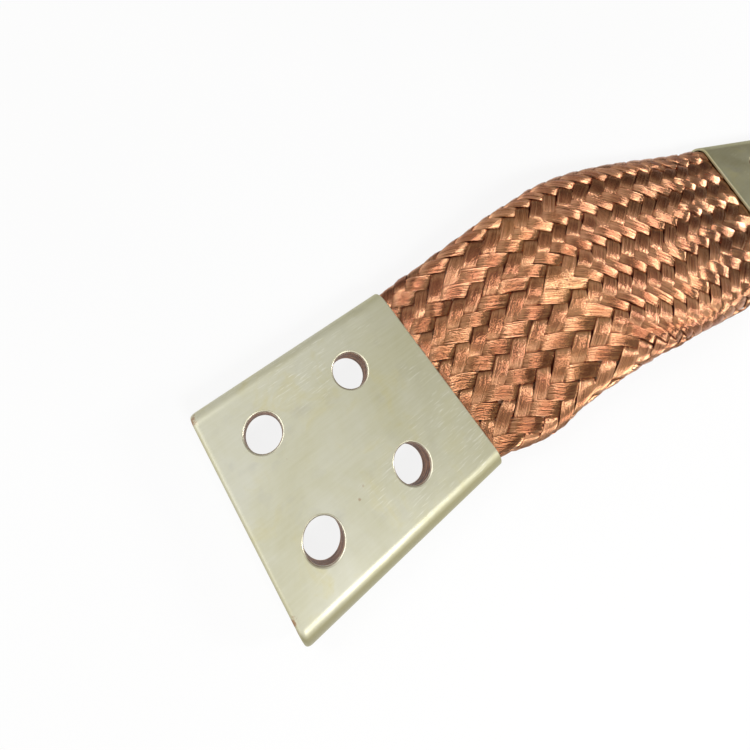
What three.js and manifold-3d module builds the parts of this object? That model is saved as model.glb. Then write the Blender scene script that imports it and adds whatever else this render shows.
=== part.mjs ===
// Flexible busbar braid: a flattened tubular copper braid, with flat braid layers inside it,
// pressed at both ends into flattened, tinned copper tube ferrules that are drilled for bolts.
// Millimetres, +Z up. Origin: the centre of the near terminal's four holes, on its underside.
// +X runs from the near terminal into the braid.
import * as THREE from 'three';
import { mergeVertices } from 'three/addons/utils/BufferGeometryUtils.js';
import Module from 'manifold-3d';

const wasm = await Module();
wasm.setup();

// ---- driving dimensions -------------------------------------------------------------
const TERMINAL_LENGTH = 90;      // along the terminal
const TERMINAL_WIDTH = 82;       // over the rounded sides
const TERMINAL_THICK = 12.5;     // pressed thickness
const FERRULE_WALL = 1.2;        // tube wall
const END_CHAMFER = 0.8;         // on the outer end's edges
const MOUTH_CHAMFER = 0.4;       // on the edges that the braid leaves
const HOLE_DIAMETER = 14;
const HOLE_PITCH = 40;           // both ways
const HOLE_FROM_END = 20;        // first row, from the outer end
const HOLE_CHAMFER = 0.8;
const GAP = 0.3;                 // between neighbouring pieces

const BRAID_WALL = 1.4;          // the outer braid's wall, two bands thick
const BRAID_SPLIT = 4;           // how far inside a mouth the free braid meets its pressed end
const BRAID_UNDERSIDE_FREE = 0.9; // lowest point of the free braid above the terminals' underside
// The free braid at set fractions of its length: its width, its thickness and how far its
// middle lies to the side of the plain curve between the two mouths.
const ALONG = [0, 0.12, 0.25, 0.38, 0.52, 0.66, 0.8, 0.9, 1];
const BRAID_WIDTHS = [79, 87.5, 89.5, 93.2, 96.2, 95.1, 89.6, 83.5, 79];
const BRAID_THICKS = [9.5, 11.3, 14.5, 17.6, 19.8, 20, 17.5, 14, 9.5];
const BRAID_SIDEWAYS = [0, -2.5, -1.5, -0.9, -0.9, -3, -4.4, -2.9, 0];
const LAYERS = 3;                // flat braid layers inside
const LAYER_WIDTHS = [70, 74, 70]; // inside the ferrules, bottom to top
const LAYER_GAP_FREE = 0.9;      // between the layers at mid-span
const STACK_FREE = 13;           // height of the three layers at mid-span
const LAYER_SPREAD = 12;         // how much wider the layers are at mid-span

const FAR_MOUTH_X = 256.5;       // where the braid enters the far ferrule
const FAR_MOUTH_Y = -30.2;
const FAR_TURN_DEG = -21;        // the far terminal's turn about +Z

const CAP_POINTS = 6;            // segments in each rounded side
const FREE_STEPS = 20;           // stations along the free outer braid
const LAYER_STEPS = 12;          // and along the layers inside it
const DRILL_SEGMENTS = 28;
const LAYER_DRILL_SEGMENTS = 16;

// ---- route --------------------------------------------------------------------------
const NEAR_END_X = -(HOLE_FROM_END + HOLE_PITCH / 2);
const NEAR_MOUTH_X = NEAR_END_X + TERMINAL_LENGTH;
const TURN = THREE.MathUtils.degToRad(FAR_TURN_DEG);
const MID_Z = TERMINAL_THICK / 2;
const CHORD = Math.hypot(FAR_MOUTH_X - NEAR_MOUTH_X, FAR_MOUTH_Y);

// Plan position and heading: u < 0 inside the near ferrule (mm), 0..1 on the free braid,
// u > 1 inside the far ferrule (1 + mm).
function route(u) {
  if (u <= 0) return { x: NEAR_MOUTH_X + u, y: 0, a: 0, t: 0 };
  if (u >= 1) {
    const d = u - 1;
    return { x: FAR_MOUTH_X + d * Math.cos(TURN), y: FAR_MOUTH_Y + d * Math.sin(TURN), a: TURN, t: 1 };
  }
  const p0 = [NEAR_MOUTH_X, 0], p1 = [FAR_MOUTH_X, FAR_MOUTH_Y];
  const m0 = [CHORD, 0], m1 = [CHORD * Math.cos(TURN), CHORD * Math.sin(TURN)];
  const h = [2 * u ** 3 - 3 * u ** 2 + 1, u ** 3 - 2 * u ** 2 + u, -2 * u ** 3 + 3 * u ** 2, u ** 3 - u ** 2];
  const g = [6 * u ** 2 - 6 * u, 3 * u ** 2 - 4 * u + 1, -6 * u ** 2 + 6 * u, 3 * u ** 2 - 2 * u];
  const at = (k, c) => k[0] * p0[c] + k[1] * m0[c] + k[2] * p1[c] + k[3] * m1[c];
  const a = Math.atan2(at(g, 1), at(g, 0));
  const side = along(BRAID_SIDEWAYS, u, 0);
  return { x: at(h, 0) - side * Math.sin(a), y: at(h, 1) + side * Math.cos(a), a, t: u };
}

// A smooth curve through values set at the fractions in ALONG. The end slopes are scaled by lead.
function along(values, t, lead) {
  const n = ALONG.length - 1;
  if (t <= 0) return values[0];
  if (t >= 1) return values[n];
  let i = 0;
  while (ALONG[i + 1] < t) i++;
  const rise = (k) => (values[k + 1] - values[k]) / (ALONG[k + 1] - ALONG[k]);
  const slope = (k) => (k === 0 ? lead * rise(0) : k === n ? lead * rise(n - 1)
    : (values[k + 1] - values[k - 1]) / (ALONG[k + 1] - ALONG[k - 1]));
  const h = ALONG[i + 1] - ALONG[i], s = (t - ALONG[i]) / h;
  return (2 * s ** 3 - 3 * s ** 2 + 1) * values[i] + (s ** 3 - 2 * s ** 2 + s) * h * slope(i)
    + (-2 * s ** 3 + 3 * s ** 2) * values[i + 1] + (s ** 3 - s ** 2) * h * slope(i + 1);
}

// ---- sections -----------------------------------------------------------------------
// A flat section with fully rounded sides, as points [across, up] about its centre.
const FLAT_POINTS = 4;
const SECTION_POINTS = 2 * (CAP_POINTS + FLAT_POINTS);
function rounded(width, thick) {
  const r = thick / 2, c = width / 2 - r, pts = [];
  for (const side of [1, -1]) {
    for (let i = 0; i <= CAP_POINTS; i++) {
      const a = -Math.PI / 2 + Math.PI * i / CAP_POINTS + (side < 0 ? Math.PI : 0);
      pts.push([side * c + r * Math.cos(a), r * Math.sin(a)]);
    }
    for (let i = 1; i < FLAT_POINTS; i++) {
      pts.push([side * c * (1 - 2 * i / FLAT_POINTS), side * r]);
    }
  }
  return pts;
}
// A strip with softened corners.
function strip(width, thick) {
  const w = width / 2, h = thick / 2, e = Math.min(0.35 * thick, 0.9);
  return [[w, -h + e], [w, h - e], [w - e, h], [0, h], [-w + e, h], [-w, h - e], [-w, -h + e], [-w + e, -h], [0, -h], [w - e, -h]];
}

// A solid through the sections at the given stations: an extrusion of a regular outline whose
// points are then set to each station's own section.
function sweep(stations, count, sectionAt) {
  const outline = new THREE.Shape();
  for (let i = 0; i < count; i++) {
    const a = 2 * Math.PI * i / count;
    if (i === 0) outline.moveTo(Math.cos(a), Math.sin(a)); else outline.lineTo(Math.cos(a), Math.sin(a));
  }
  outline.closePath();
  const steps = stations.length - 1;
  const g = new THREE.ExtrudeGeometry(outline, { depth: steps, steps, bevelEnabled: false });
  const sections = stations.map((s) => sectionAt(s));
  const frames = stations.map((s) => route(s));
  const p = g.attributes.position;
  for (let v = 0; v < p.count; v++) {
    const k = Math.round(p.getZ(v));
    const i = (Math.round(Math.atan2(p.getY(v), p.getX(v)) / (2 * Math.PI) * count) + count) % count;
    const { points, z } = sections[k];
    const f = frames[k];
    const [across, up] = points[i];
    p.setXYZ(v, f.x - across * Math.sin(f.a), f.y + across * Math.cos(f.a), z + up);
  }
  return g;
}

function solid(geometry) {
  const g = geometry.clone();
  g.deleteAttribute('normal');
  g.deleteAttribute('uv');
  const m = mergeVertices(g, 1e-4);
  return new wasm.Manifold(new wasm.Mesh({
    numProp: 3,
    vertProperties: new Float32Array(m.attributes.position.array),
    triVerts: new Uint32Array(m.index.array),
  }));
}
function faces(manifold) {
  const m = manifold.getMesh();
  const g = new THREE.BufferGeometry();
  const n = m.numProp, pos = new Float32Array(m.vertProperties.length / n * 3);
  for (let i = 0; i < pos.length / 3; i++) for (let c = 0; c < 3; c++) pos[3 * i + c] = m.vertProperties[n * i + c];
  g.setAttribute('position', new THREE.BufferAttribute(pos, 3));
  g.setIndex(new THREE.BufferAttribute(new Uint32Array(m.triVerts), 1));
  const flat = g.toNonIndexed();
  flat.computeVertexNormals();
  return flat;
}

// ---- bolt holes ---------------------------------------------------------------------
// Every hole as a place on the floor plan, for both terminals.
const HOLES = { near: [], far: [] };
for (const sx of [-1, 1]) for (const sy of [-1, 1]) {
  const x = sx * HOLE_PITCH / 2, y = sy * HOLE_PITCH / 2;
  HOLES.near.push([x, y]);
  // in the far terminal the holes lie the same distance from its own outer end
  const d = TERMINAL_LENGTH - HOLE_FROM_END - HOLE_PITCH / 2 + x;
  HOLES.far.push([
    FAR_MOUTH_X + d * Math.cos(TURN) - y * Math.sin(TURN),
    FAR_MOUTH_Y + d * Math.sin(TURN) + y * Math.cos(TURN),
  ]);
}
function drill([x, y], radius, segments) {
  const g = new THREE.CylinderGeometry(radius, radius, 60, segments);
  g.rotateX(Math.PI / 2);
  g.translate(x, y, MID_Z);
  return solid(g);
}
// The drill with its countersinks at both faces.
function chamferedDrill([x, y]) {
  const r = HOLE_DIAMETER / 2, h = TERMINAL_THICK / 2, c = HOLE_CHAMFER;
  const profile = [[0, -h - 3], [r + c + 3, -h - 3], [r, -h + c], [r, h - c], [r + c + 3, h + 3], [0, h + 3]]
    .map(([a, b]) => new THREE.Vector2(a, b));
  const g = new THREE.LatheGeometry(profile, DRILL_SEGMENTS);
  g.rotateX(Math.PI / 2);
  g.translate(x, y, MID_Z);
  return solid(g);
}
const ALL_HOLES = [...HOLES.near, ...HOLES.far];

// ---- ferrules -----------------------------------------------------------------------
// base is the mouth's place on the route: 0 at the near terminal, 1 at the far one.
function ferrule(holes, base) {
  const dir = base === 0 ? -1 : 1;
  const list = [
    [0, MOUTH_CHAMFER], [MOUTH_CHAMFER, 0],
    [TERMINAL_LENGTH - END_CHAMFER, 0], [TERMINAL_LENGTH, END_CHAMFER],
  ];
  if (dir < 0) list.reverse();
  const cut = new Map(list.map(([d, c]) => [base + dir * d, c]));
  const body = solid(sweep([...cut.keys()], SECTION_POINTS, (s) => ({
    points: rounded(TERMINAL_WIDTH - 2 * cut.get(s), TERMINAL_THICK - 2 * cut.get(s)), z: MID_Z,
  })));
  const cavity = solid(straight(base, dir, TERMINAL_WIDTH - 2 * FERRULE_WALL, TERMINAL_THICK - 2 * FERRULE_WALL));
  let part = body.subtract(cavity);
  for (const h of holes) part = part.subtract(chamferedDrill(h));
  return faces(part);
}
// A straight prism of the flat section that runs past both ends of a ferrule.
function straight(base, dir, width, thick) {
  const outline = new THREE.Shape(rounded(width, thick).map(([a, b]) => new THREE.Vector2(a, b)));
  const g = new THREE.ExtrudeGeometry(outline, { depth: TERMINAL_LENGTH + 10, steps: 1, bevelEnabled: false });
  const p = g.attributes.position;
  const f = route(base);
  const from = dir < 0 ? -TERMINAL_LENGTH - 5 : -5;
  for (let v = 0; v < p.count; v++) {
    const across = p.getX(v), d = p.getZ(v) + from;
    p.setXYZ(v, f.x + d * Math.cos(f.a) - across * Math.sin(f.a), f.y + d * Math.sin(f.a) + across * Math.cos(f.a), MID_Z + p.getY(v));
  }
  return g;
}

// ---- braids -------------------------------------------------------------------------
const PRESSED_THICK = TERMINAL_THICK - 2 * FERRULE_WALL - 2 * GAP;
const BRAID_END = TERMINAL_LENGTH - GAP; // from a mouth to the braid's cut end
function braidSize(t) {
  const thick = along(BRAID_THICKS, t, 1), width = along(BRAID_WIDTHS, t, 1);
  const k = (thick - PRESSED_THICK) / (Math.max(...BRAID_THICKS) - PRESSED_THICK);
  const pressed = MID_Z - PRESSED_THICK / 2;
  const under = pressed + (BRAID_UNDERSIDE_FREE - pressed) * Math.min(1, 2 * k);
  return { k, thick, width, z: under + thick / 2 };
}
// Stations from a to b on the route, with the free braid between them in equal steps.
function stations(a, b, steps) {
  const s = [a];
  for (let i = 0; i <= steps; i++) if (i / steps > a && i / steps < b) s.push(i / steps);
  s.push(b);
  return s;
}
// The outer braid from a to b on the route. Its free part and the two ends that are pressed and
// drilled with the ferrules are separate solids.
function outerBraid(a, b, holes) {
  const section = (wall) => (s) => {
    const size = braidSize(route(s).t);
    return { points: rounded(size.width - 2 * wall, size.thick - 2 * wall), z: size.z };
  };
  const skin = solid(sweep(stations(a, b, FREE_STEPS), SECTION_POINTS, section(0)));
  const hollow = solid(sweep(stations(a - 3, b + 3, FREE_STEPS), SECTION_POINTS, section(BRAID_WALL)));
  let part = skin.subtract(hollow);
  for (const h of holes) part = part.subtract(drill(h, HOLE_DIAMETER / 2, DRILL_SEGMENTS));
  return faces(part);
}
function innerLayer(index) {
  const room = PRESSED_THICK - 2 * BRAID_WALL - 2 * GAP;
  let part = solid(sweep(stations(-BRAID_END, 1 + BRAID_END, LAYER_STEPS), 10, (s) => {
    const b = braidSize(route(s).t);
    const stack = room + (STACK_FREE - room) * b.k;
    const gap = GAP + (LAYER_GAP_FREE - GAP) * b.k;
    const thick = (stack - (LAYERS - 1) * gap) / LAYERS;
    return {
      points: strip(LAYER_WIDTHS[index] + LAYER_SPREAD * b.k, thick),
      z: b.z - stack / 2 + thick / 2 + index * (thick + gap),
    };
  }));
  for (const h of ALL_HOLES) part = part.subtract(drill(h, HOLE_DIAMETER / 2, LAYER_DRILL_SEGMENTS));
  return faces(part);
}

// ---- materials and assembly ---------------------------------------------------------
function piece(name, geometry, color, roughness, metalness) {
  const mesh = new THREE.Mesh(geometry, new THREE.MeshStandardMaterial({ color, roughness, metalness }));
  mesh.name = name;
  return mesh;
}
const link = new THREE.Group();
link.add(piece('ferrule_near', ferrule(HOLES.near, 0), 0xc9c9b4, 0.42, 1));
link.add(piece('ferrule_far', ferrule(HOLES.far, 1), 0xc3c4b0, 0.44, 1));
link.add(piece('braid_outer', outerBraid(-BRAID_SPLIT, 1 + BRAID_SPLIT, []), 0xb86f4a, 0.38, 1));
link.add(piece('braid_end_near', outerBraid(-BRAID_END, -BRAID_SPLIT - GAP, HOLES.near), 0xb06a46, 0.45, 1));
link.add(piece('braid_end_far', outerBraid(1 + BRAID_SPLIT + GAP, 1 + BRAID_END, HOLES.far), 0xb06a46, 0.45, 1));
link.add(piece('inner_braid_bottom', innerLayer(0), 0xa9633f, 0.45, 1));
link.add(piece('inner_braid_middle', innerLayer(1), 0xa9633f, 0.45, 1));
link.add(piece('inner_braid_top', innerLayer(2), 0xa9633f, 0.45, 1));

export default link;
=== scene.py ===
import math

import bmesh
import bpy
import numpy as np
from mathutils import Matrix, Vector


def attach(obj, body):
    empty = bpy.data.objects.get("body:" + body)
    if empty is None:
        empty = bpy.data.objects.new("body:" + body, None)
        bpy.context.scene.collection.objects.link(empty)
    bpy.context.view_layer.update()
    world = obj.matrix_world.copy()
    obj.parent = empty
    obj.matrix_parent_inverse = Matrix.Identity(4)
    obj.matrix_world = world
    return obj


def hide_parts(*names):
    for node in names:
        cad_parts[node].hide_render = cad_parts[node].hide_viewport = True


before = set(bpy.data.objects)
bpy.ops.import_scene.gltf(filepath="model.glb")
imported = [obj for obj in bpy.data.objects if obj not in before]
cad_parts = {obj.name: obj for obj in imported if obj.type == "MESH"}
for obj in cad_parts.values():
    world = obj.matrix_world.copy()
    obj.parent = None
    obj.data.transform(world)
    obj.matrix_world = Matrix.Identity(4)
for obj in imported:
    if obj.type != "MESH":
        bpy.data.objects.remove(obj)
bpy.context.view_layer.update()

MM = 0.001
RNG = np.random.default_rng(41)

# ---- the link's own dimensions, in mm, in the frame of the CAD model ----------------------
TERMINAL_LENGTH, TERMINAL_WIDTH, TERMINAL_THICK = 90.0, 82.0, 12.5
FERRULE_WALL, HOLE_R, HOLE_PITCH, HOLE_FROM_END = 1.2, 7.0, 40.0, 20.0
NEAR_MOUTH, FAR_MOUTH, TURN = (50.0, 0.0), (256.5, -30.2), math.radians(-21)
MID_Z, PRESSED = 6.25, 9.5
BRAID_SPLIT = 4.0
CHORD = math.hypot(FAR_MOUTH[0] - NEAR_MOUTH[0], FAR_MOUTH[1] - NEAR_MOUTH[1])
ALONG = np.array([0, 0.12, 0.25, 0.38, 0.52, 0.66, 0.8, 0.9, 1])
BRAID_WIDTHS = np.array([79, 87.5, 89.5, 93.2, 96.2, 95.1, 89.6, 83.5, 79])
BRAID_THICKS = np.array([9.5, 11.3, 14.5, 17.6, 19.8, 20, 17.5, 14, 9.5])
BRAID_SIDEWAYS = np.array([0, -2.5, -1.5, -0.9, -0.9, -3, -4.4, -2.9, 0])


def along(values, t, lead):
    n = len(ALONG) - 1
    rise = np.diff(values) / np.diff(ALONG)
    slope = np.empty(n + 1)
    slope[1:-1] = (values[2:] - values[:-2]) / (ALONG[2:] - ALONG[:-2])
    slope[0], slope[-1] = lead * rise[0], lead * rise[-1]
    t = np.clip(t, 0, 1)
    i = np.clip(np.searchsorted(ALONG, t, side="left") - 1, 0, n - 1)
    h = ALONG[i + 1] - ALONG[i]
    s = (t - ALONG[i]) / h
    return ((2 * s**3 - 3 * s**2 + 1) * values[i] + (s**3 - 2 * s**2 + s) * h * slope[i]
            + (-2 * s**3 + 3 * s**2) * values[i + 1] + (s**3 - s**2) * h * slope[i + 1])


def route(t):
    """Plan place and heading. t runs 0 to 1 over the free braid and goes straight on at CHORD mm per unit."""
    t = np.asarray(t, float)
    u = np.clip(t, 0, 1)
    over = t - u
    h = (2 * u**3 - 3 * u**2 + 1, u**3 - 2 * u**2 + u, -2 * u**3 + 3 * u**2, u**3 - u**2)
    g = (6 * u**2 - 6 * u, 3 * u**2 - 4 * u + 1, -6 * u**2 + 6 * u, 3 * u**2 - 2 * u)
    m0, m1 = (CHORD, 0.0), (CHORD * math.cos(TURN), CHORD * math.sin(TURN))

    def at(k, c):
        return k[0] * NEAR_MOUTH[c] + k[1] * m0[c] + k[2] * FAR_MOUTH[c] + k[3] * m1[c]

    a = np.arctan2(at(g, 1), at(g, 0))
    side = along(BRAID_SIDEWAYS, u, 0)
    x = at(h, 0) - side * np.sin(a) + over * CHORD * np.cos(a)
    y = at(h, 1) + side * np.cos(a) + over * CHORD * np.sin(a)
    return x, y, a


def braid_size(t):
    thick, width = along(BRAID_THICKS, t, 1), along(BRAID_WIDTHS, t, 1)
    k = (thick - PRESSED) / (BRAID_THICKS.max() - PRESSED)
    under = 1.5 + (0.9 - 1.5) * np.minimum(1, 2 * k)
    return width, thick, under + thick / 2, k


# ---- mesh helpers ---------------------------------------------------------------------------
def mesh_object(name, verts_mm, quads, attrs=None, smooth=True):
    me = bpy.data.meshes.new(name)
    v = np.asarray(verts_mm, np.float32) * MM
    q = np.asarray(quads, np.int32)
    me.vertices.add(len(v))
    me.vertices.foreach_set("co", v.ravel())
    me.loops.add(q.size)
    me.loops.foreach_set("vertex_index", q.ravel())
    me.polygons.add(len(q))
    me.polygons.foreach_set("loop_start", np.arange(0, q.size, q.shape[1], dtype=np.int32))
    if smooth:
        me.polygons.foreach_set("use_smooth", np.ones(len(q), bool))
    me.update(calc_edges=True)
    for key, values in (attrs or {}).items():
        a = me.color_attributes.new(key, "FLOAT_COLOR", "POINT")
        a.data.foreach_set("color", np.asarray(values, np.float32).ravel())
    me.validate()
    ob = bpy.data.objects.new(name, me)
    bpy.context.scene.collection.objects.link(ob)
    return ob


def stadium(width, thick, caps=24, flats=10):
    """A flat section with fully rounded sides, anticlockwise, as [across, up]."""
    r, c, pts = thick / 2, width / 2 - thick / 2, []
    for side in (1, -1):
        for i in range(caps + 1):
            a = -math.pi / 2 + math.pi * i / caps + (math.pi if side < 0 else 0)
            pts.append((side * c + r * math.cos(a), r * math.sin(a)))
        for i in range(1, flats):
            pts.append((side * c * (1 - 2 * i / flats), side * r))
    return np.array(pts)


def loft(rings):
    """Vertices and quads through rings of equal length; the ends are closed by n-gons elsewhere."""
    n, m = len(rings), len(rings[0])
    verts = np.concatenate(rings)
    i, j = np.meshgrid(np.arange(n - 1), np.arange(m), indexing="ij")
    a = i * m + j
    b = i * m + (j + 1) % m
    quads = np.stack([a, b, b + m, a + m], -1).reshape(-1, 4)
    return verts, quads


def solid_from_rings(name, rings):
    verts, quads = loft(rings)
    bm = bmesh.new()
    vs = [bm.verts.new(Vector(v) * MM) for v in verts]
    for q in quads:
        bm.faces.new([vs[k] for k in q])
    m = len(rings[0])
    bm.faces.new([vs[k] for k in range(m)][::-1])
    bm.faces.new([vs[len(verts) - m + k] for k in range(m)])
    bmesh.ops.recalc_face_normals(bm, faces=bm.faces)
    me = bpy.data.meshes.new(name)
    bm.to_mesh(me)
    bm.free()
    ob = bpy.data.objects.new(name, me)
    bpy.context.scene.collection.objects.link(ob)
    return ob


def place(points, origin, heading, shift=0.0):
    """[along, across, up] points laid out from a mouth in its heading."""
    p = np.asarray(points, float)
    c, s = math.cos(heading), math.sin(heading)
    return np.stack([origin[0] + (p[:, 0] + shift) * c - p[:, 1] * s,
                     origin[1] + (p[:, 0] + shift) * s + p[:, 1] * c, p[:, 2]], 1)


def boolean(ob, cutter, operation="DIFFERENCE"):
    mod = ob.modifiers.new("cut", "BOOLEAN")
    mod.operation, mod.solver, mod.object = operation, "EXACT", cutter
    dg = bpy.context.evaluated_depsgraph_get()
    me = bpy.data.meshes.new_from_object(ob.evaluated_get(dg))
    ob.modifiers.remove(mod)
    old = ob.data
    ob.data = me
    bpy.data.meshes.remove(old)


def smooth_by_angle(ob, degrees):
    me = ob.data
    me.polygons.foreach_set("use_smooth", np.ones(len(me.polygons), bool))
    me.set_sharp_from_angle(angle=math.radians(degrees))
    mod = ob.modifiers.new("normals", "WEIGHTED_NORMAL")
    mod.keep_sharp, mod.weight = True, 60


def drop(ob):
    me = ob.data
    bpy.data.objects.remove(ob)
    bpy.data.meshes.remove(me)


# ---- materials ------------------------------------------------------------------------------
class Nodes:
    """Small helper to wire a material."""

    def __init__(self, name):
        self.mat = bpy.data.materials.new(name)
        self.mat.use_nodes = True
        self.tree = self.mat.node_tree
        self.tree.nodes.clear()
        self.out = self.tree.nodes.new("ShaderNodeOutputMaterial")
        self.bsdf = self.tree.nodes.new("ShaderNodeBsdfPrincipled")
        self.tree.links.new(self.bsdf.outputs[0], self.out.inputs[0])
        self.coord = self.tree.nodes.new("ShaderNodeTexCoord").outputs["Object"]

    def set(self, socket, value):
        sock = self.bsdf.inputs[socket]
        if isinstance(value, bpy.types.NodeSocket):
            self.tree.links.new(value, sock)
        else:
            sock.default_value = value

    def node(self, kind, **inputs):
        n = self.tree.nodes.new(kind)
        for key, value in inputs.items():
            if key.startswith("p_"):
                setattr(n, key[2:], value)
                continue
            sock = n.inputs[int(key[1:])] if key[0] == "i" and key[1:].isdigit() else n.inputs[key.replace("_", " ")]
            if isinstance(value, bpy.types.NodeSocket):
                self.tree.links.new(value, sock)
            else:
                sock.default_value = value
        return n

    def mapped(self, scale, rotation=(0, 0, 0)):
        return self.node("ShaderNodeMapping", Vector=self.coord, Scale=scale, Rotation=rotation).outputs[0]

    def noise(self, scale, detail=3.0, rough=0.55, vector=None, distortion=0.0):
        return self.node("ShaderNodeTexNoise", Vector=vector or self.coord, Scale=scale, Detail=detail,
                         Roughness=rough, Distortion=distortion).outputs["Fac"]

    def ramp(self, fac, stops, interpolation="LINEAR"):
        n = self.tree.nodes.new("ShaderNodeValToRGB")
        n.color_ramp.interpolation = interpolation
        e = n.color_ramp.elements
        while len(e) < len(stops):
            e.new(0.5)
        for k, (pos, col) in enumerate(stops):
            e[k].position = pos
            e[k].color = (*col, 1) if len(col) == 3 else col
        self.tree.links.new(fac, n.inputs[0])
        return n.outputs[0]

    def math(self, op, a, b=0.0, c=0.0, clamp=False):
        n = self.tree.nodes.new("ShaderNodeMath")
        n.operation, n.use_clamp = op, clamp
        for k, value in enumerate((a, b, c)):
            if isinstance(value, bpy.types.NodeSocket):
                self.tree.links.new(value, n.inputs[k])
            else:
                n.inputs[k].default_value = value
        return n.outputs[0]

    def mix(self, fac, a, b, blend="MIX"):
        n = self.tree.nodes.new("ShaderNodeMix")
        n.data_type, n.blend_type = "RGBA", blend
        for k, value in ((0, fac), (6, a), (7, b)):
            if isinstance(value, bpy.types.NodeSocket):
                self.tree.links.new(value, n.inputs[k])
            elif k == 0:
                n.inputs[k].default_value = value
            else:
                n.inputs[k].default_value = (*value, 1)
        return n.outputs[2]

    def spread(self, fac, lo, hi, a=0.0, b=1.0):
        return self.node("ShaderNodeMapRange", Value=fac, From_Min=lo, From_Max=hi, To_Min=a, To_Max=b).outputs[0]

    def bump(self, height, strength, distance, normal=None):
        n = self.node("ShaderNodeBump", Height=height, Strength=strength, Distance=distance)
        if normal is not None:
            self.tree.links.new(normal, n.inputs["Normal"])
        return n.outputs[0]


def tin_material(name, heading, marks=(), shade=1.0, warm=1.0, mouth=0.05):
    """Tin plate over copper: pale grey with olive and yellow clouds, brushed, scuffed, copper showing on edges.

    marks are worn or stained spots in metres, each (x, y, z, radius, strength). The plate is painted darker and
    yellower towards x = mouth, as painted shade. shade and warm make a darker, yellower copy of the whole tin."""
    m = Nodes(name)
    brushed = m.mapped((70, 1100, 900), (0, 0, -heading + 0.62))
    crossed = m.mapped((150, 1700, 400), (0, 0, -heading - 0.95))
    cloud = m.noise(24.0, 5.0, 0.62, distortion=0.4)
    blotch = m.noise(62.0, 4.0, 0.65, distortion=0.9)
    fine = m.noise(1.0, 3.0, 0.65, brushed)
    strokes = m.noise(1.0, 2.0, 0.6, crossed)
    grain = m.noise(2400.0, 2.0, 0.7)

    def c(r, g, b):
        return (r * shade, g * shade, b * shade * warm)

    base = m.ramp(cloud, [(0.28, c(0.53, 0.505, 0.335)), (0.44, c(0.575, 0.56, 0.415)), (0.58, c(0.60, 0.59, 0.475)), (0.74, c(0.61, 0.61, 0.53))])
    base = m.mix(m.math("MULTIPLY", m.spread(blotch, 0.54, 0.72), 0.55), base, c(0.56, 0.51, 0.27))
    base = m.mix(m.math("MULTIPLY", m.spread(m.noise(90.0, 3.0, 0.6), 0.56, 0.74), 0.40), base, c(0.44, 0.43, 0.39))
    # painted shade: darker and yellower towards x = mouth, with a ragged border
    place_x = m.node("ShaderNodeSeparateXYZ", Vector=m.coord).outputs[0]
    ragged_x = m.math("ADD", place_x, m.spread(m.noise(40.0, 3.0, 0.6), 0.3, 0.7, -0.014, 0.014))
    base = m.mix(m.spread(ragged_x, mouth - 0.058, mouth - 0.002, 0.0, 0.50), base, c(0.485, 0.465, 0.275))
    # short strokes of a brush, in patches
    field = m.spread(m.noise(30.0, 2.0, 0.5), 0.50, 0.64)
    base = m.mix(m.math("MULTIPLY", m.spread(strokes, 0.57, 0.72, 0.0, 0.6), field), base, c(0.80, 0.79, 0.70))
    base = m.mix(m.spread(fine, 0.35, 0.75, 0.0, 0.20), base, c(0.72, 0.71, 0.61))
    speck = m.math("MULTIPLY", m.spread(m.noise(330.0, 2.0, 0.5), 0.775, 0.80), 0.7)
    base = m.mix(speck, base, (0.34, 0.19, 0.11))
    # painted shade: the rounded sides are darkened and yellowed to tone down the key light's highlight there, most on
    # the -y side, less on the lowest part, and not on the hole rims
    facing = m.node("ShaderNodeSeparateXYZ", Vector=m.tree.nodes.new("ShaderNodeNewGeometry").outputs["Normal"])
    face = facing.outputs[2]
    side = m.math("MULTIPLY", m.spread(face, 0.84, 0.998, 0.95, 0.0), m.spread(facing.outputs[1], -0.3, 0.3, 1.0, 0.12))
    rim = m.tree.nodes.new("ShaderNodeAttribute")
    rim.attribute_name = "rim"
    plain = m.math("SUBTRACT", 1.0, rim.outputs["Fac"])
    side = m.math("MULTIPLY", m.math("MULTIPLY", side, plain), m.spread(face, 0.05, 0.85, 0.15, 1.0))
    base = m.mix(side, base, c(0.37, 0.345, 0.205))
    # painted highlight: the hole chamfer rims are lightened to pale cream
    base = m.mix(m.math("MULTIPLY", rim.outputs["Fac"], 0.6), base, c(0.82, 0.79, 0.66))
    # the plate is thin along the machined edges, where the copper shows
    edge = m.tree.nodes.new("ShaderNodeAttribute")
    edge.attribute_name = "edge"
    wear = m.noise(210.0, 4.0, 0.65)
    worn = m.math("MULTIPLY", edge.outputs["Fac"], m.spread(wear, 0.40, 0.60))
    base = m.mix(worn, base, (0.42, 0.22, 0.12))
    for x, y, z, radius, strength in marks:
        gap = m.tree.nodes.new("ShaderNodeVectorMath")
        gap.operation = "DISTANCE"
        m.tree.links.new(m.coord, gap.inputs[0])
        gap.inputs[1].default_value = (x, y, z)
        ragged = m.math("ADD", gap.outputs["Value"], m.spread(m.noise(700.0, 3.0, 0.6), 0.3, 0.7, -0.45 * radius, 0.45 * radius))
        base = m.mix(m.spread(ragged, 0.55 * radius, radius, strength, 0.0), base, (0.30, 0.15, 0.075))
    m.set("Base Color", base)
    m.set("Metallic", 0.92)
    rough = m.math("ADD", m.spread(cloud, 0.3, 0.7, 0.35, 0.43), m.spread(blotch, 0.35, 0.7, -0.03, 0.05))
    m.set("Roughness", m.math("ADD", rough, m.math("MULTIPLY", m.spread(face, 0.92, 0.999, 0.25, 0.0), plain)))
    n = m.bump(m.noise(15.0, 3.0, 0.5), 0.40, 0.0014)
    n = m.bump(fine, 0.14, 0.00006, n)
    n = m.bump(m.math("MULTIPLY", strokes, field), 0.22, 0.00006, n)
    n = m.bump(grain, 0.14, 0.00003, n)
    m.set("Normal", n)
    return m.mat


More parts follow.
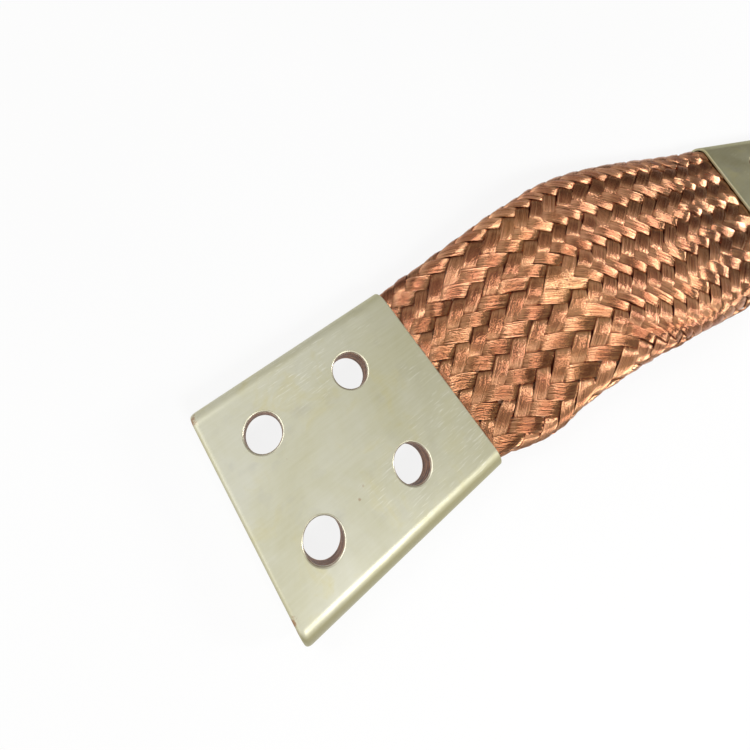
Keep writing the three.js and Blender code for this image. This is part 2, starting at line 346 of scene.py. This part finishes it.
def copper_material(name):
    """Bright copper wire. The attribute holds a number for each wire, the band's rise, its family and slow wear;
    painted shade and painted highlight are laid on by the rise.
    """
    m = Nodes(name)
    att = m.tree.nodes.new("ShaderNodeAttribute")
    att.attribute_name = "weave"
    sep = m.node("ShaderNodeSeparateColor", i0=att.outputs["Color"])
    wire, rise, family = sep.outputs[0], sep.outputs[1], sep.outputs[2]
    base = m.ramp(wire, [(0.0, (0.29, 0.110, 0.058)), (0.35, (0.39, 0.164, 0.090)), (0.7, (0.47, 0.212, 0.118)), (1.0, (0.62, 0.32, 0.18))])
    golden = m.spread(m.noise(26.0, 3.0, 0.55), 0.46, 0.70)
    base = m.mix(m.math("MULTIPLY", golden, 0.35), base, (0.66, 0.38, 0.16))
    dull = m.spread(m.noise(60.0, 3.0, 0.6), 0.5, 0.75)
    base = m.mix(m.math("MULTIPLY", dull, 0.40), base, (0.28, 0.11, 0.055))
    # painted shade: the wires are darkened towards the near mouth, which dims their highlights there
    place_x = m.node("ShaderNodeSeparateXYZ", Vector=m.coord).outputs[0]
    base = m.mix(m.spread(place_x, 0.060, 0.125, 0.42, 0.0), base, (0.22, 0.085, 0.048))
    # painted highlight: lighter where a float turns down, on its shoulders
    painted_shoulder_highlight = m.math("MULTIPLY", m.spread(rise, 0.40, 0.58), m.spread(rise, 0.74, 0.93, 1.0, 0.0))
    base = m.mix(m.math("MULTIPLY", painted_shoulder_highlight, 0.35), base, (0.80, 0.46, 0.25))
    # painted shade: darker over the top of each float's arch
    base = m.mix(m.spread(rise, 0.82, 1.0, 0.0, 0.38), base, (0.31, 0.125, 0.066))
    # painted shade: deep red-brown in the gaps between floats, the valleys between wires and the low band edges
    low = m.spread(rise, 0.08, 0.50, 1.0, 0.0)
    base = m.mix(m.math("MULTIPLY", low, 0.8), base, (0.34, 0.075, 0.022))
    m.set("Base Color", base)
    m.set("Metallic", 1.0)
    m.set("Roughness", m.spread(m.noise(900.0, 2.0, 0.6), 0.3, 0.7, 0.17, 0.27))
    glint = m.noise(1500.0, 2.0, 0.7)
    m.set("Normal", m.bump(glint, 0.035, 0.00005))
    return m.mat


def pressed_material(name):
    """Copper wire pressed nearly solid, cut through by the drill: dark, rough, with fine layers. The dark base is
    painted shade for the walls of the drilled holes; the layers are the pressed wire's own grain.
    """
    m = Nodes(name)
    layers = m.noise(1.0, 4.0, 0.65, m.mapped((170, 170, 1500)))
    wires = m.noise(1.0, 3.0, 0.6, m.mapped((700, 700, 1900)))
    base = m.ramp(layers, [(0.38, (0.030, 0.014, 0.008)), (0.49, (0.13, 0.060, 0.034)), (0.60, (0.40, 0.20, 0.11))])
    base = m.mix(m.spread(wires, 0.50, 0.68, 0.0, 0.7), base, (0.30, 0.135, 0.07))
    m.set("Base Color", base)
    m.set("Metallic", 0.30)
    m.set("Specular IOR Level", 0.2)
    m.set("Roughness", m.spread(wires, 0.3, 0.7, 0.42, 0.62))
    m.set("Normal", m.bump(wires, 0.6, 0.00025, m.bump(layers, 0.5, 0.0003)))
    return m.mat


TIN_NEAR = tin_material("tin_near", 0.0, marks=(
    (-0.0397, 0.0376, 0.0103, 0.0026, 0.75), (-0.0398, -0.0318, 0.0118, 0.0017, 0.75), (-0.0398, -0.0345, 0.0108, 0.0014, 0.6),
    (-0.0030, -0.0176, 0.0125, 0.0006, 0.50), (0.0005, -0.0150, 0.0125, 0.0004, 0.30)))
# painted shade: the far plate is a darker, yellower copy of the same tin. The tinned end faces use a copy darkened by
# 0.85.
TIN_FAR = tin_material("tin_far", TURN, shade=0.92, warm=0.88, mouth=0.6)
TIN_END = tin_material("tin_end", 0.0, shade=0.85, mouth=0.6)
COPPER = copper_material("copper_wire")
INNER = pressed_material("pressed_copper")


# ---- ferrules -------------------------------------------------------------------------------
def hole_places(heading, origin):
    """Bolt hole centres of one terminal; along is counted from the mouth into the ferrule."""
    out = []
    for a in (TERMINAL_LENGTH - HOLE_FROM_END - HOLE_PITCH, TERMINAL_LENGTH - HOLE_FROM_END):
        for b in (-HOLE_PITCH / 2, HOLE_PITCH / 2):
            out.append((a, b))
    return out


def lathe(name, profile, centre, segments=96):
    a = np.arange(segments) * 2 * math.pi / segments
    rings = [np.stack([centre[0] + r * np.cos(a), centre[1] + r * np.sin(a), np.full(segments, z)], 1) for r, z in profile]
    return solid_from_rings(name, rings)


def rounded_box_rings(width, thick, length, end_round, mouth_round, direction):
    """Rings of a flattened tube from its mouth to its outer end, with both rims rounded over."""
    stops = [(d, i) for d, i in sorted({(round(mouth_round * (1 - math.cos(math.pi / 2 * k / 6)), 5),
                                         round(mouth_round * (1 - math.sin(math.pi / 2 * k / 6)), 5)) for k in range(7)})]
    for d in np.linspace(mouth_round, length - 2 * end_round, 13)[1:-1]:
        stops.append((d, 0.0))
    for k in range(9):
        a = math.pi / 2 * k / 8
        stops.append((length - 2 * end_round * (1 - math.sin(a)), end_round * (1 - math.cos(a))))
    rings = []
    for d, inset in stops:
        s = stadium(width - 2 * inset, thick - 2 * inset)
        rings.append(np.stack([np.full(len(s), direction * d), s[:, 0], MID_Z + s[:, 1]], 1))
    return rings


def ferrule(name, node, origin, heading, direction, material):
    rings = rounded_box_rings(TERMINAL_WIDTH, TERMINAL_THICK, TERMINAL_LENGTH, 1.1, 0.45, direction)
    ob = solid_from_rings(name, [place(r, origin, heading) for r in rings])
    s = stadium(TERMINAL_WIDTH - 2 * FERRULE_WALL, TERMINAL_THICK - 2 * FERRULE_WALL)
    cav = [np.stack([np.full(len(s), direction * d), s[:, 0], MID_Z + s[:, 1]], 1) for d in (-5.0, TERMINAL_LENGTH + 5.0)]
    tool = solid_from_rings("tool", [place(r, origin, heading) for r in cav])
    boolean(ob, tool)
    drop(tool)
    h, r, e = TERMINAL_THICK / 2, HOLE_R, 0.85
    prof = [(r, h - e), (r + 0.05, h - 0.7 * e), (r + 0.19, h - 0.42 * e), (r + 0.42, h - 0.18 * e), (r + 0.72, h - 0.03), (r + 1.1, h + 0.25), (r + 3, h + 3)]
    profile = [(rr, MID_Z - (zz)) for rr, zz in prof[::-1]] + [(rr, MID_Z + zz) for rr, zz in prof]
    for a, b in hole_places(heading, origin):
        c = place([[direction * a, b, 0]], origin, heading)[0]
        tool = lathe("tool", profile, c)
        boolean(ob, tool)
        drop(tool)
    ob.data.materials.clear()
    ob.data.materials.append(material)
    # how near each vertex lies to a machined edge, and which vertices lie on a hole's chamfer rim, where the tin gets a
    # painted highlight
    me = ob.data
    co = np.empty(len(me.vertices) * 3, np.float32)
    me.vertices.foreach_get("co", co)
    co = co.reshape(-1, 3) / MM
    near, rim = np.zeros(len(co)), np.zeros(len(co))
    for a, b in hole_places(heading, origin):
        c = place([[direction * a, b, 0]], origin, heading)[0]
        d = np.hypot(co[:, 0] - c[0], co[:, 1] - c[1])
        near = np.maximum(near, np.where(d < r + 0.03, 1.0, np.where(d < r + 0.25, 0.6, 0.0)))
        rim = np.maximum(rim, np.where((d < r + 0.5) & (d > r - 0.03), 1.0, 0.0))
    c, s = math.cos(heading), math.sin(heading)
    local = (co[:, 0] - origin[0]) * c + (co[:, 1] - origin[1]) * s
    near = np.maximum(near, np.where(np.abs(local) > TERMINAL_LENGTH - 0.12, 0.5, 0.0))
    for key, values in (("edge", near), ("rim", rim)):
        att = me.color_attributes.new(key, "FLOAT_COLOR", "POINT")
        att.data.foreach_set("color", np.repeat(values[:, None], 4, 1).astype(np.float32).ravel())
    smooth_by_angle(ob, 35)
    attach(ob, "root")
    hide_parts(node)
    return ob


ferrule("ferrule_near_plate", "ferrule_near", NEAR_MOUTH, 0.0, -1, TIN_NEAR)
ferrule("ferrule_far_plate", "ferrule_far", FAR_MOUTH, TURN, 1, TIN_FAR)


# ---- pressed braid ends and inner layers ----------------------------------------------------
def drilled(ob, places, radius):
    for c in places:
        tool = lathe("tool", [(radius, -30.0), (radius, 40.0)], c, 72)
        boolean(ob, tool)
        drop(tool)


def all_holes():
    near = [place([[-a, b, 0]], NEAR_MOUTH, 0.0)[0] for a, b in hole_places(0, NEAR_MOUTH)]
    far = [place([[a, b, 0]], FAR_MOUTH, TURN)[0] for a, b in hole_places(TURN, FAR_MOUTH)]
    return near, far


NEAR_HOLES, FAR_HOLES = all_holes()


def tinned_ends(ob):
    """Pressed copper all over, but tinned with the ferrule on the faces at the terminals' outer ends."""
    me = ob.data
    me.materials.clear()
    me.materials.append(INNER)
    me.materials.append(TIN_END)
    index = np.zeros(len(me.polygons), np.int32)
    for k, p in enumerate(me.polygons):
        c, n = p.center / MM, p.normal
        for origin, heading, direction in ((NEAR_MOUTH, 0.0, -1), (FAR_MOUTH, TURN, 1)):
            x, y = direction * math.cos(heading), direction * math.sin(heading)
            if (c.x - origin[0]) * x + (c.y - origin[1]) * y > TERMINAL_LENGTH - 1.0 and n.x * x + n.y * y > 0.9:
                index[k] = 1
    me.polygons.foreach_set("material_index", index)


def braid_end(name, node, origin, heading, direction, holes):
    a, b = BRAID_SPLIT + 0.3, TERMINAL_LENGTH - 0.3
    outer = stadium(79.3, 9.8)
    ob = solid_from_rings(name, [place(np.stack([np.full(len(outer), direction * d), outer[:, 0], MID_Z + outer[:, 1]], 1), origin, heading) for d in (a, b)])
    inner = stadium(79.3 - 3.1, 9.8 - 3.1)
    tool = solid_from_rings("tool", [place(np.stack([np.full(len(inner), direction * d), inner[:, 0], MID_Z + inner[:, 1]], 1), origin, heading) for d in (a - 3, b + 3)])
    boolean(ob, tool)
    drop(tool)
    drilled(ob, holes, HOLE_R)
    tinned_ends(ob)
    smooth_by_angle(ob, 30)
    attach(ob, "root")
    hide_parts(node)


braid_end("braid_end_near_pressed", "braid_end_near", NEAR_MOUTH, 0.0, -1, NEAR_HOLES)
braid_end("braid_end_far_pressed", "braid_end_far", FAR_MOUTH, TURN, 1, FAR_HOLES)


def inner_layer(name, node, index):
    widths = (70, 74, 70)
    ends = (TERMINAL_LENGTH - 0.3) / CHORD
    ts = np.concatenate([[-ends, -ends / 2], np.linspace(0, 1, 41), [1 + ends / 2, 1 + ends]])
    x, y, a = route(ts)
    w, h, z, k = braid_size(ts)
    rings = []
    for i in range(len(ts)):
        stack = 6.3 + (13 - 6.3) * k[i]
        gap = 0.12 + (0.9 - 0.12) * k[i]
        thick = (stack - 2 * gap) / 3
        ww, hh = (widths[index] + 12 * k[i]) / 2, thick / 2
        e = min(0.7 * thick, 0.8)
        across, up = [], []
        for sx, sz, s0 in ((1, -1, -90), (1, 1, 0), (-1, 1, 90), (-1, -1, 180)):
            for d in (0, 30, 60, 90):
                q = math.radians(s0 + d)
                across.append(sx * (ww - e / 2) + e / 2 * math.cos(q))
                up.append(sz * (hh - e / 2) + e / 2 * math.sin(q))
        across, up = np.array(across), np.array(up) + z[i] - stack / 2 + thick / 2 + index * (thick + gap)
        rings.append(np.stack([x[i] - across * math.sin(a[i]), y[i] + across * math.cos(a[i]), up], 1))
    ob = solid_from_rings(name, rings)
    drilled(ob, NEAR_HOLES + FAR_HOLES, HOLE_R)
    tinned_ends(ob)
    smooth_by_angle(ob, 30)
    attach(ob, "root")
    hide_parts(node)


for index, node in enumerate(("inner_braid_bottom", "inner_braid_middle", "inner_braid_top")):
    inner_layer(node + "_strip", node, index)


# ---- the woven outer braid ------------------------------------------------------------------
# The layout of the weave over the surface: how many floats have passed at each tenth of the free
# length (from -0.1 to 1.1), and how far the rows of floats drift round the braid, in 48ths of a
# turn. The second list of each pair acts with the sine of the angle round the braid.
KNOTS = np.linspace(-0.1, 1.1, 13)
FLOATS = np.array([-1.75, 0.12, 2.05, 3.86, 5.52, 7.45, 10.08, 12.62, 14.87, 16.93, 18.69, 20.33, 22.01])
FLOATS_SIDE = np.array([-0.29, -0.18, 0.02, -0.05, 0.07, 0.33, 0.22, -0.21, -0.33, -0.18, 0.21, 0.5, 0.6])
DRIFT = np.array([-1.6, -0.89, 0.61, 1.18, 1.37, 1.45, 0.44, -0.26, -0.2, 0.11, -0.16, -0.48, -0.43])
DRIFT_SIDE = np.array([-0.3, -0.38, -0.4, -0.51, -0.68, -0.72, -0.22, 0.2, -0.19, -0.44, 0.16, 0.6, 0.8])
PHI0 = -0.0157
CARRIERS = 24                     # each way
WIRES = 12
BAND_COVER = 1.0
INSET = 1.10                      # of the surface that the bands wave about, under the CAD sleeve's
MOUTH_INSET, MOUTH_RISE = 0.72, 0.60
RISE_UP, RISE_DOWN = 0.80, 0.58
BAND_THICK = 0.46


def catmull(values, t):
    u = np.clip((t - KNOTS[0]) / 0.1, 0, 12 - 1e-6)
    i = np.floor(u).astype(int)
    w = u - i
    ext = np.concatenate([[2 * values[0] - values[1]], values, [2 * values[-1] - values[-2]]])
    return ((-0.5 * w**3 + w**2 - 0.5 * w) * ext[i] + (1.5 * w**3 - 2.5 * w**2 + 1) * ext[i + 1]
            + (-1.5 * w**3 + 2 * w**2 + 0.5 * w) * ext[i + 2] + (0.5 * w**3 - 0.5 * w**2) * ext[i + 3])


def floats_at(t, phi):
    return catmull(FLOATS, t) + catmull(FLOATS_SIDE, t) * np.sin(2 * np.pi * phi)


def drift_at(t, phi):
    return catmull(DRIFT, t) + catmull(DRIFT_SIDE, t) * np.sin(2 * np.pi * phi)


def lattice_to_surface(m, s):
    """Row m (48 to a turn) and float number s to the place along the braid and round it."""
    tt = np.linspace(-0.1, 1.1, 400)
    t = np.interp(s, catmull(FLOATS, tt), tt)
    phi = PHI0 + m / 48
    for _ in range(12):
        phi = PHI0 + (m + drift_at(t, phi)) / 48
        slope = (floats_at(t + 0.002, phi) - floats_at(t - 0.002, phi)) / 0.004
        t = t + np.clip((s - floats_at(t, phi)) / slope, -0.02, 0.02)
    return t, phi


def ring(width, thick, crown, n):
    """A section [across, up] at n equal steps of its own length, from the top's middle towards +across."""
    a, b = width / 2, thick / 2
    f = np.arange(2400) / 2400
    c = a - b
    s = f * (4 * c + 2 * math.pi * b)
    e1, e2, e3, e4 = c, c + math.pi * b, 3 * c + math.pi * b, 3 * c + 2 * math.pi * b
    q1, q2 = (s - e1) / b, (s - e3) / b
    y = np.select([s < e1, s < e2, s < e3, s < e4], [s, c + b * np.sin(q1), c - (s - e2), -c - b * np.sin(q2)], -c + (s - e4))
    z = np.select([s < e1, s < e2, s < e3, s < e4], [b + 0 * s, b * np.cos(q1), -b + 0 * s, -b * np.cos(q2)], b)
    p = np.stack([y, z], 1)
    if crown > 0:
        th = np.linspace(0, 2 * math.pi, 4800, endpoint=False)
        sn, cs = np.sin(th), np.cos(th)
        ex = np.where(cs > 0, 2.7, 3.6)
        pts = np.stack([a * np.sign(sn) * np.abs(sn) ** (2 / ex), b * np.sign(cs) * np.abs(cs) ** (2 / ex)], 1)
        cum = np.concatenate([[0], np.cumsum(np.linalg.norm(np.roll(pts, -1, 0) - pts, axis=1))])
        ext = np.vstack([pts, pts[:1]])
        q = np.stack([np.interp(f * cum[-1], cum, ext[:, 0]), np.interp(f * cum[-1], cum, ext[:, 1])], 1)
        p = (1 - crown) * p + crown * q
    cum = np.concatenate([[0], np.cumsum(np.linalg.norm(np.roll(p, -1, 0) - p, axis=1))])
    ext = np.vstack([p, p[:1]])
    ff = np.arange(n) / n * cum[-1]
    return np.stack([np.interp(ff, cum, ext[:, 0]), np.interp(ff, cum, ext[:, 1])], 1)


NT, NF = 257, 480
GT0, GT1 = -0.03, 1.03


def base_surface():
    ts = np.linspace(GT0, GT1, NT)
    x, y, a = route(ts)
    w, h, z, k = braid_size(ts)
    P = np.empty((NT, NF, 3))
    for i in range(NT):
        near = min(max(min(ts[i], 1 - ts[i]) / 0.05, 0.0), 1.0)
        inset = MOUTH_INSET + (INSET - MOUTH_INSET) * near * near * (3 - 2 * near)
        r = ring(w[i] - 2 * inset, h[i] - 2 * inset, 0.6 * min(1.0, 1.6 * k[i]), NF)
        P[i, :, 0] = x[i] - r[:, 0] * math.sin(a[i])
        P[i, :, 1] = y[i] + r[:, 0] * math.cos(a[i])
        P[i, :, 2] = z[i] + r[:, 1]
    # slow lumps, where the bands crowd or part
    T, F = np.meshgrid(ts, np.arange(NF) / NF, indexing="ij")
    lump = np.zeros_like(T)
    for _ in range(26):
        ft, ff = RNG.uniform(1.0, 7.0), int(RNG.integers(1, 12))
        lump += RNG.normal() * np.sin(2 * np.pi * (ft * T + RNG.random())) * np.sin(2 * np.pi * (ff * F + RNG.random())) / (0.6 * ft + 0.35 * ff)
    lump *= 0.55 / np.abs(lump).max() * np.clip(np.minimum(T, 1 - T) / 0.10, 0, 1) ** 1.2
    N = normals(P)
    top = N[..., 2] > -0.2
    P = P + N * (lump * np.where(top, 1.0, 0.35))[..., None]
    return ts, P, normals(P)


def normals(P):
    du = np.gradient(P, axis=0)
    dv = np.roll(P, -1, 1) - np.roll(P, 1, 1)
    N = np.cross(dv, du)
    N /= np.linalg.norm(N, axis=2, keepdims=True)
    return N if N[NT // 2, 0, 2] > 0 else -N


SURF_T, SURF_P, SURF_N = base_surface()


def take(G, t, f):
    fi = np.clip((t - GT0) / (GT1 - GT0) * (NT - 1), 0, NT - 1.001)
    i = np.floor(fi).astype(int)
    wi = (fi - i)[..., None]
    fj = (f % 1.0) * NF
    j = np.floor(fj).astype(int)
    wj = (fj - j)[..., None]
    j, j2 = j % NF, (j + 1) % NF
    return (1 - wi) * (1 - wj) * G[i, j] + wi * (1 - wj) * G[i + 1, j] + (1 - wi) * wj * G[i, j2] + wi * wj * G[i + 1, j2]


def slow_noise(n, x, wave):
    """n smooth random curves over x, about 1 high, with features about wave long."""
    out = np.zeros((n, len(x)))
    for k in range(5):
        f = RNG.uniform(0.5, 1.7, (n, 1)) / wave
        out += RNG.normal(0, 0.5, (n, 1)) * np.sin(2 * np.pi * (f * x[None] + RNG.random((n, 1))))
    return out


def carrier(family, index):
    """One band of wires, as points and the attribute's values, [along, across]."""
    lo, hi = -BRAID_SPLIT / CHORD, 1 + BRAID_SPLIT / CHORD
    # rows m against floats s: one family climbs round the braid and the other falls
    sign = 1 if family == 0 else -1
    centre = 0.5 if family == 0 else 2.5
    q = np.array([-0.82, -0.66, -0.46, -0.2, 0.2, 0.46, 0.66, 0.82, 0.94, 1.06, 1.2, 1.45, 1.8, 2.2, 2.55, 2.8, 2.94, 3.06])
    m = (q[None] + centre + 4 * np.arange(-26, 26)[:, None]).ravel()
    s = sign * (m - 2 * index) / 2
    keep = (s > -1.3) & (s < 22.6)
    m, s = m[keep], s[keep]
    order = np.argsort(s)
    m, s = m[order], s[order]
    t, phi = lattice_to_surface(m, s)
    inside = (t > lo) & (t < hi)
    first, last = np.flatnonzero(inside)[[0, -1]]
    sl = slice(max(first - 1, 0), last + 2)
    m, s, t = m[sl], s[sl], t[sl]
    # strips of the surface across the band, laid along the other family's bands
    wander = slow_noise(1, s, 3.2)[0] * 0.045
    across = np.linspace(-0.6, 0.6, 9)
    step = across[None] + wander[:, None]
    tt, ff = lattice_to_surface(m[:, None] + step, s[:, None] - sign * 0.5 * step)
    tt = np.clip(tt, lo, hi)
    P, N = take(SURF_P, tt, ff), take(SURF_N, tt, ff)
    ease = np.clip(np.minimum(t, 1 - t) / 0.05, 0, 1)
    ease = MOUTH_RISE + (1 - MOUTH_RISE) * ease * ease * (3 - 2 * ease)
    qq = (m - centre + 1) % 4 - 1
    c = np.cos(np.pi / 2 * qq)
    arch = np.sign(c) * np.abs(c) ** 0.70
    rise = np.where(arch > 0, RISE_UP, RISE_DOWN) * arch
    rise = rise * (1 + 0.10 * slow_noise(1, s, 2.5)[0])
    # slack: some floats stand a little prouder than others
    per_float = RNG.normal(0, 1, 64)
    lean = RNG.normal(0, 1, 64)
    number = (np.floor((m - centre + 1) / 4).astype(int) + 32) % 64
    rise = (rise + np.where(arch > 0, arch, 0) * 0.09 * per_float[number]) * ease
    # narrower where the band dives
    width = BAND_COVER * (1 + 0.03 * slow_noise(1, s, 4.0)[0]) * (0.93 + 0.065 * np.clip(arch, -1, 1))
    W = WIRES
    pitch = 1.0 / W
    left = -0.5 + pitch * np.arange(W)
    # four points on every wire: valley, shoulder, shoulder, valley
    offs = np.array([0.02, 0.28, 0.72, 0.98])
    lift = np.array([-0.15, 0.03, 0.03, -0.15])
    u = (left[:, None] + pitch * offs[None]).ravel()
    dz = np.tile(lift, W)
    calm = 0.55 if family == 0 else 1.0
    lat = np.repeat(slow_noise(W, s, 1.8) * 0.17 * calm, 4, axis=0)
    own = RNG.normal(0, 0.05, W)[:, None] + slow_noise(W, s, 1.3) * 0.038 * calm
    # a few wires have sprung loose over part of a float
    for w in range(W):
        if RNG.random() < 0.22:
            at = RNG.uniform(s.min(), s.max())
            own[w] += RNG.uniform(0.15, 0.60) * np.exp(-((s - at) / 0.33) ** 2) * (arch > 0)
    hgt = np.repeat(own, 4, axis=0)
    uu = (u[None] + lat.T * pitch) * width[:, None]
    crown = -0.34 * (2 * np.abs(u[None])) ** 2.3 * (0.45 + 0.55 * np.clip(arch, 0, 1)[:, None])
    tilt = 0.13 * lean[number][:, None] * u[None] * np.clip(arch, 0, 1)[:, None]
    h = rise[:, None] + (BAND_THICK / 2 + dz[None] + hgt.T + crown + tilt) * np.minimum(1, ease + 0.25)[:, None]
    low = rise - BAND_THICK / 2 - 0.10
    uu = np.concatenate([uu, 0.46 * width[:, None], -0.46 * width[:, None]], 1)
    h = np.concatenate([h, low[:, None], low[:, None]], 1)
    fi = np.clip((uu - across[0]) / (across[1] - across[0]), 0, len(across) - 1.001)
    i0 = np.floor(fi).astype(int)
    fw = (fi - i0)[..., None]
    rows = np.arange(len(m))[:, None]
    base = (1 - fw) * P[rows, i0] + fw * P[rows, i0 + 1]
    nor = (1 - fw) * N[rows, i0] + fw * N[rows, i0 + 1]
    nor /= np.linalg.norm(nor, axis=-1, keepdims=True)
    pts = base + nor * h[..., None]
    wire = np.repeat(np.clip(0.5 + 0.24 * RNG.normal(size=W), 0, 1), 4)
    wire = np.concatenate([wire, [0.4, 0.4]])
    tone = np.clip(wire[None] + 0.12 * slow_noise(1, s, 2.0)[0][:, None], 0, 1)
    # level and depth say how high each point stands in the weave; the copper material paints shade from them in the
    # gaps, between wires and at band edges, and a highlight on float shoulders
    level = np.clip((rise / ease + RISE_DOWN) / (RISE_UP + RISE_DOWN), 0, 1)[:, None]
    depth = np.clip(level + np.concatenate([dz + crown.mean(0) * 0.6, [-0.5, -0.5]])[None] * 0.9, 0, 1)
    att = np.stack([tone, depth, np.full_like(tone, float(family)), np.ones_like(tone)], -1)
    return pts, att


def band_faces(n, cols, W):
    """Quads of one band: three on each wire, and the side and underside that close it."""
    pairs = []
    for w in range(W):
        pairs += [(4 * w, 4 * w + 1), (4 * w + 1, 4 * w + 2), (4 * w + 2, 4 * w + 3)]
    pairs += [(4 * W - 1, 4 * W), (4 * W, 4 * W + 1), (4 * W + 1, 0)]
    pairs = np.array(pairs)
    i = np.arange(n - 1)[:, None] * cols
    a, b = i + pairs[None, :, 0], i + pairs[None, :, 1]
    return np.stack([a, b, b + cols, a + cols], -1).reshape(-1, 4)


def weave():
    groups = {}
    for family in (0, 1):
        for index in range(CARRIERS):
            groups.setdefault((family, index // 8), []).append(carrier(family, index))
    for (family, third), bands in groups.items():
        verts, quads, atts, base = [], [], [], 0
        for pts, att in bands:
            n, cols = pts.shape[:2]
            verts.append(pts.reshape(-1, 3))
            atts.append(att.reshape(-1, 4))
            q = band_faces(n, cols, WIRES) + base
            if family == 0:
                q = q[:, ::-1]
            quads.append(q)
            base += n * cols
        name = f"braid_bands_{'left' if family == 0 else 'right'}_{third + 1}"
        ob = mesh_object(name, np.concatenate(verts), np.concatenate(quads), {"weave": np.concatenate(atts)})
        ob.data.materials.append(COPPER)
        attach(ob, "root")
        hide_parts("braid_outer")


weave()


def lining():
    """The inner face of the outer braid, so that no light comes through between the bands. It is painted with the
    darkest gap shade.
    """
    P = (SURF_P - SURF_N * 0.85)[::4, ::4]
    n, c = P.shape[:2]
    i, j = np.meshgrid(np.arange(n - 1), np.arange(c), indexing="ij")
    a, b = i * c + j, i * c + (j + 1) % c
    q = np.stack([a, b, b + c, a + c], -1).reshape(-1, 4)
    # painted shade: a dark wire tone at depth 0, so the copper material paints this face with its darkest gap shade
    att = np.tile(np.array([0.2, 0.0, 0.0, 1.0]), (n * c, 1))
    ob = mesh_object("braid_inner_face", P.reshape(-1, 3), q, {"weave": att})
    ob.data.materials.append(COPPER)
    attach(ob, "root")
    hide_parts("braid_outer")


lining()

# ---- stage, light and camera ----------------------------------------------------------------
floor = bpy.data.meshes.new("floor")
floor.from_pydata([(-3, -3, -0.00015), (3, -3, -0.00015), (3, 3, -0.00015), (-3, 3, -0.00015)], [], [(0, 1, 2, 3)])
floor = bpy.data.objects.new("floor", floor)
bpy.context.scene.collection.objects.link(floor)
fm = Nodes("floor_white")
fm.set("Base Color", fm.ramp(fm.noise(3.0, 2.0, 0.5), [(0.3, (0.105, 0.105, 0.105)), (0.7, (0.12, 0.12, 0.12))]))
fm.set("Roughness", 0.8)
fm.set("Specular IOR Level", 0.0)
fm.set("Emission Color", (1, 1, 1, 1))
fm.set("Emission Strength", 0.845)
floor.data.materials.append(fm.mat)

world = bpy.data.worlds.new("studio")
bpy.context.scene.world = world
world.use_nodes = True
wt = world.node_tree
wt.nodes.clear()
bg = wt.nodes.new("ShaderNodeBackground")
wo = wt.nodes.new("ShaderNodeOutputWorld")
# a bright ceiling over a dimmer, warmer room
sky = wt.nodes.new("ShaderNodeTexCoord")
high = wt.nodes.new("ShaderNodeVectorMath")
high.operation = "DOT_PRODUCT"
high.inputs[1].default_value = (-0.55, 0.35, 1.0)
glow = wt.nodes.new("ShaderNodeValToRGB")
wt.links.new(sky.outputs["Generated"], high.inputs[0])
wt.links.new(high.outputs["Value"], glow.inputs[0])
stops = [(0.0, (0.18, 0.16, 0.135)), (0.22, (0.20, 0.18, 0.155)), (0.45, (0.32, 0.305, 0.285)), (0.70, (0.70, 0.69, 0.67)), (0.90, (0.96, 0.96, 0.96))]
while len(glow.color_ramp.elements) < len(stops):
    glow.color_ramp.elements.new(0.5)
for e, (pos, col) in zip(glow.color_ramp.elements, stops):
    e.position, e.color = pos, (*col, 1)
wt.links.new(glow.outputs[0], bg.inputs["Color"])
bg.inputs["Strength"].default_value = 1.0
wt.links.new(bg.outputs[0], wo.inputs[0])


def area(name, direction, distance, size, power, long=(1, 0, 0), colour=(1, 1, 1), target=(0.12, -0.01, 0.0)):
    """A soft box out in a direction; its longer side lies along the vector long."""
    d = Vector(direction).normalized()
    x = (Vector(long) - d * d.dot(Vector(long))).normalized()
    data = bpy.data.lights.new(name, "AREA")
    data.shape, data.size, data.size_y = "RECTANGLE", size[0], size[1]
    data.energy, data.color = power, colour
    ob = bpy.data.objects.new(name, data)
    bpy.context.scene.collection.objects.link(ob)
    ob.location = Vector(target) + d * distance
    ob.rotation_mode = "QUATERNION"
    ob.rotation_quaternion = Matrix((x, d.cross(x), d)).transposed().to_quaternion()
    return ob


area("key", (-0.06, -0.70, 0.71), 1.1, (0.34, 0.28), 5.3, long=(-0.6, 0.8, 0))
area("second", (0.72, -0.58, 0.38), 1.1, (0.20, 0.22), 4.9, long=(0.85, 0.52, 0))
area("fill", (-0.6, 0.7, 0.7), 1.3, (0.5, 0.4), 2.8)
area("edge", (-0.85, 0.05, 0.50), 1.1, (0.60, 0.10), 1.7, long=(0, 1, 0))

cam_data = bpy.data.cameras.new("camera")
cam_data.sensor_width, cam_data.lens = 36.0, 21.2805
cam_data.shift_x, cam_data.shift_y = 0.053133, -0.206565
cam_data.clip_start, cam_data.clip_end = 0.01, 20
cam = bpy.data.objects.new("camera", cam_data)
bpy.context.scene.collection.objects.link(cam)
R = Matrix(((0.814754, 0.455263, -0.359041), (-0.56853, 0.748837, -0.340614), (0.113794, 0.481642, 0.868949)))
cam.matrix_world = Matrix.Translation((-0.021421, 0.007921, 0.195370)) @ R.to_4x4()
bpy.context.scene.camera = cam
bpy.context.scene.view_settings.view_transform = "Standard"
